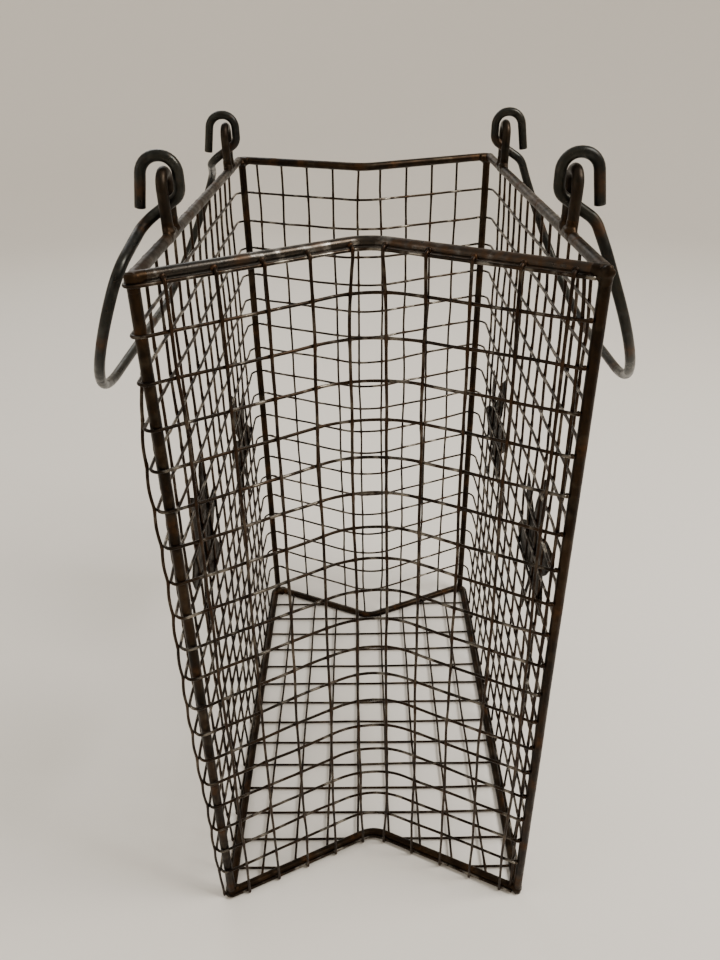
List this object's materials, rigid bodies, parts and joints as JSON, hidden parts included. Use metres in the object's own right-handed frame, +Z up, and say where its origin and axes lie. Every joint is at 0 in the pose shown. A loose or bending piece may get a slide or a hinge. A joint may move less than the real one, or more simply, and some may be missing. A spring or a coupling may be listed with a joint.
{
  "type": "hanging basket",
  "caption": "Tall welded wire basket, open at the top, with folded-in front and back, two swinging bail handles and leaf ornaments on its sides.",
  "frame": {"origin": "under the middle of the basket, on the surface that it stands on", "axes": "+Z up, +X to the basket's right seen from its front, +Y from the front to the back"},
  "size_m": [0.3532, 0.3875, 0.5311],
  "materials": {
    "frame_iron": "worn dark iron with brown rust",
    "mesh_wire": "rust-brown to black wire",
    "bail_iron": "blackened iron, dull sheen",
    "leaf_sheet": "dark grey-olive sheet iron"
  },
  "bodies": {
    "basket": {"rim_front_rod": "frame_iron", "rim_back_rod": "frame_iron", "rim_left_rod": "frame_iron", "rim_right_rod": "frame_iron", "post_front_left": "frame_iron", "post_front_right": "frame_iron", "post_back_left": "frame_iron", "post_back_right": "frame_iron", "bottom_front_rod": "frame_iron", "bottom_back_rod": "frame_iron", "bottom_left_rail": "frame_iron", "bottom_right_rail": "frame_iron", "mesh_rows": "mesh_wire", "mesh_uprights_front": "mesh_wire", "mesh_uprights_back": "mesh_wire", "mesh_uprights_left": "mesh_wire", "mesh_uprights_right": "mesh_wire", "bottom_cross_wires": "mesh_wire", "bottom_long_wires": "mesh_wire", "eye_front_left": "frame_iron", "eye_back_left": "frame_iron", "eye_front_right": "frame_iron", "eye_back_right": "frame_iron", "leaf_left_front": "leaf_sheet", "leaf_left_back": "leaf_sheet", "leaf_right_front": "leaf_sheet", "leaf_right_back": "leaf_sheet", "leaf_stem_left_front": "leaf_sheet", "leaf_stem_left_back": "leaf_sheet", "leaf_stem_right_front": "leaf_sheet", "leaf_stem_right_back": "leaf_sheet"},
    "left_bail": {"bail_left": "bail_iron"},
    "right_bail": {"bail_right": "bail_iron"}
  },
  "joints": [
    {"name": "left_bail_swing", "type": "hinge", "parent": "basket", "child": "left_bail", "pos_m": [-0.1115, 0.015, 0.5193], "axis": [0, 1, 0], "range_deg": [0, 197]},
    {"name": "right_bail_swing", "type": "hinge", "parent": "basket", "child": "right_bail", "pos_m": [0.1115, 0.0035, 0.5193], "axis": [0, -1, 0], "range_deg": [0, 197]}
  ]
}
